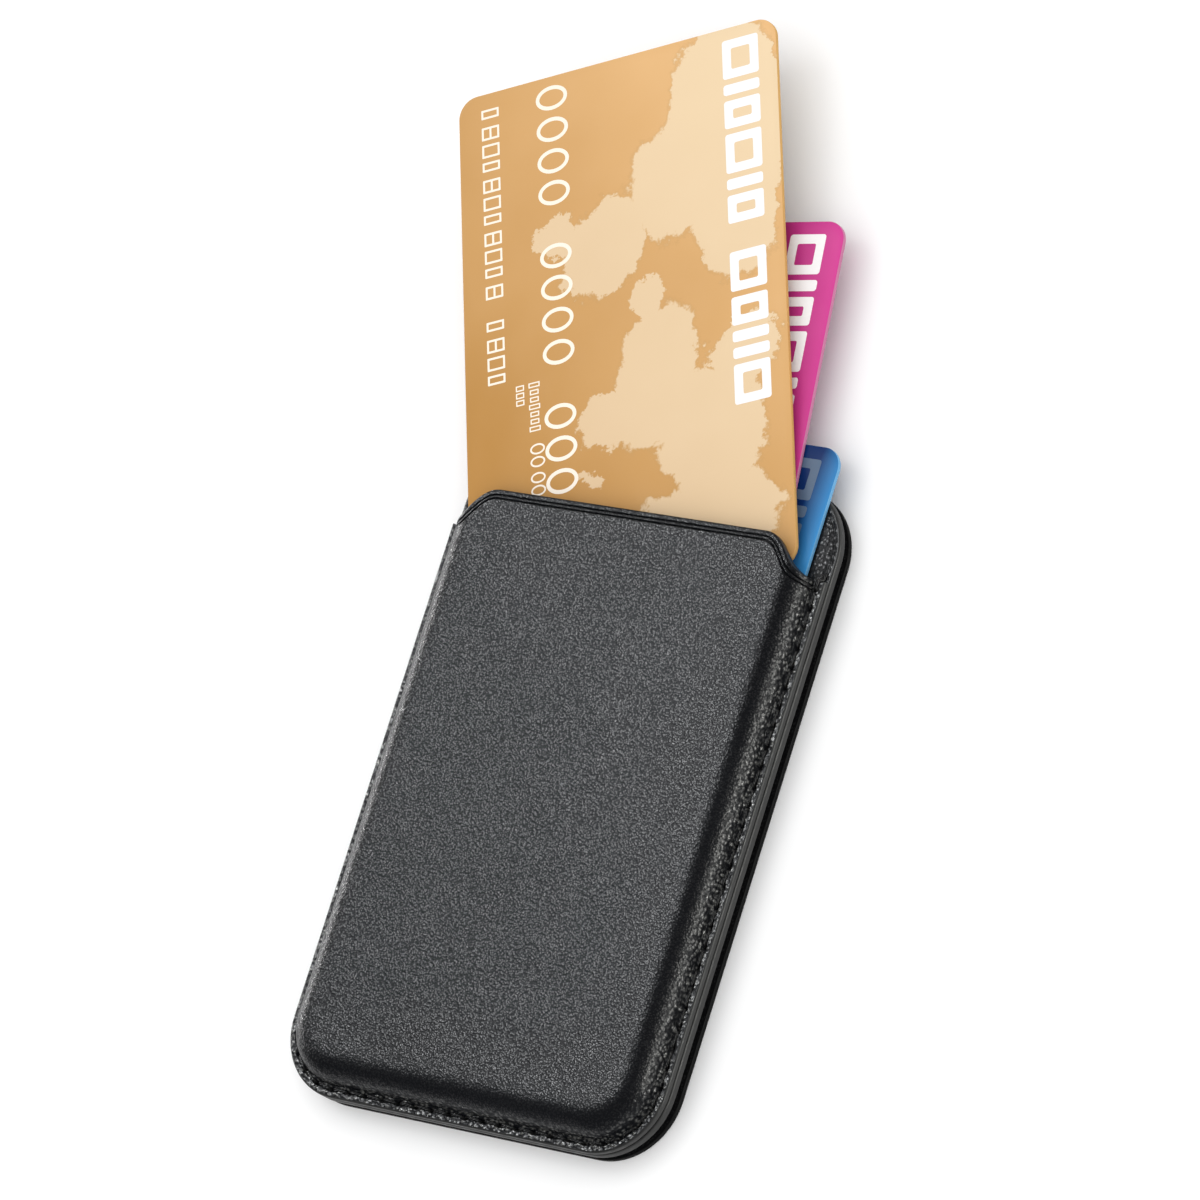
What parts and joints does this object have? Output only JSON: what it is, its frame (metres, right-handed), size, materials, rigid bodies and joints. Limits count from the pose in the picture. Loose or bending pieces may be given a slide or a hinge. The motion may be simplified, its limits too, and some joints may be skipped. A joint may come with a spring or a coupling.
{
  "type": "card holder",
  "caption": "Flat leather card holder with a moulded open-topped pocket, stitched rim, magnetic back and bank cards that slide in its mouth.",
  "frame": {"origin": "middle of the holder's flat rear face", "axes": "+Z out of the front panel, +Y towards the pocket's open mouth, +X to the right as seen from the front"},
  "size_m": [0.0843, 0.1678, 0.0099],
  "materials": {
    "front_leather": "fine pebbled grain, satin",
    "back_leather": "pebbled grain, satin, painted edge",
    "rear_leather": "fine grain, matt",
    "microfibre": "suede",
    "thread": "waxed twisted polyester",
    "fibre_board": "pressed fibre board",
    "steel": "cold rolled",
    "nickel": "nickel plated",
    "card_gold": "laminated print",
    "card_magenta": "laminated print",
    "card_blue": "laminated print"
  },
  "bodies": {
    "holder": {"alignment_magnet": "nickel", "back_panel": "back_leather", "core_board": "fibre_board", "core_disc": "fibre_board", "front_lining": "microfibre", "front_panel": "front_leather", "rear_panel": "rear_leather", "ring_magnet_01": "nickel", "ring_magnet_02": "nickel", "ring_magnet_03": "nickel", "ring_magnet_04": "nickel", "ring_magnet_05": "nickel", "ring_magnet_06": "nickel", "ring_magnet_07": "nickel", "ring_magnet_08": "nickel", "ring_magnet_09": "nickel", "ring_magnet_10": "nickel", "ring_magnet_11": "nickel", "ring_magnet_12": "nickel", "ring_magnet_13": "nickel", "ring_magnet_14": "nickel", "ring_magnet_15": "nickel", "ring_magnet_16": "nickel", "ring_magnet_17": "nickel", "ring_magnet_18": "nickel", "seam_thread_bobbin": "thread", "seam_thread_top": "thread", "shield_plate": "steel", "shunt_ring": "steel"},
    "front_card": {"card_front": "card_gold"},
    "middle_card": {"card_middle": "card_magenta"},
    "rear_card": {"card_rear": "card_blue"}
  },
  "joints": [
    {"name": "front_card_slide", "type": "slide", "parent": "holder", "child": "front_card", "axis": [-0.3502, 0.9367, 0], "range_m": [-0.002, 0.022]},
    {"name": "middle_card_slide", "type": "slide", "parent": "holder", "child": "middle_card", "axis": [-0.1253, 0.9921, 0], "range_m": [-0.003, 0.041]},
    {"name": "rear_card_slide", "type": "slide", "parent": "holder", "child": "rear_card", "axis": [0, 1, 0], "range_m": [-0.014, 0.068]}
  ]
}
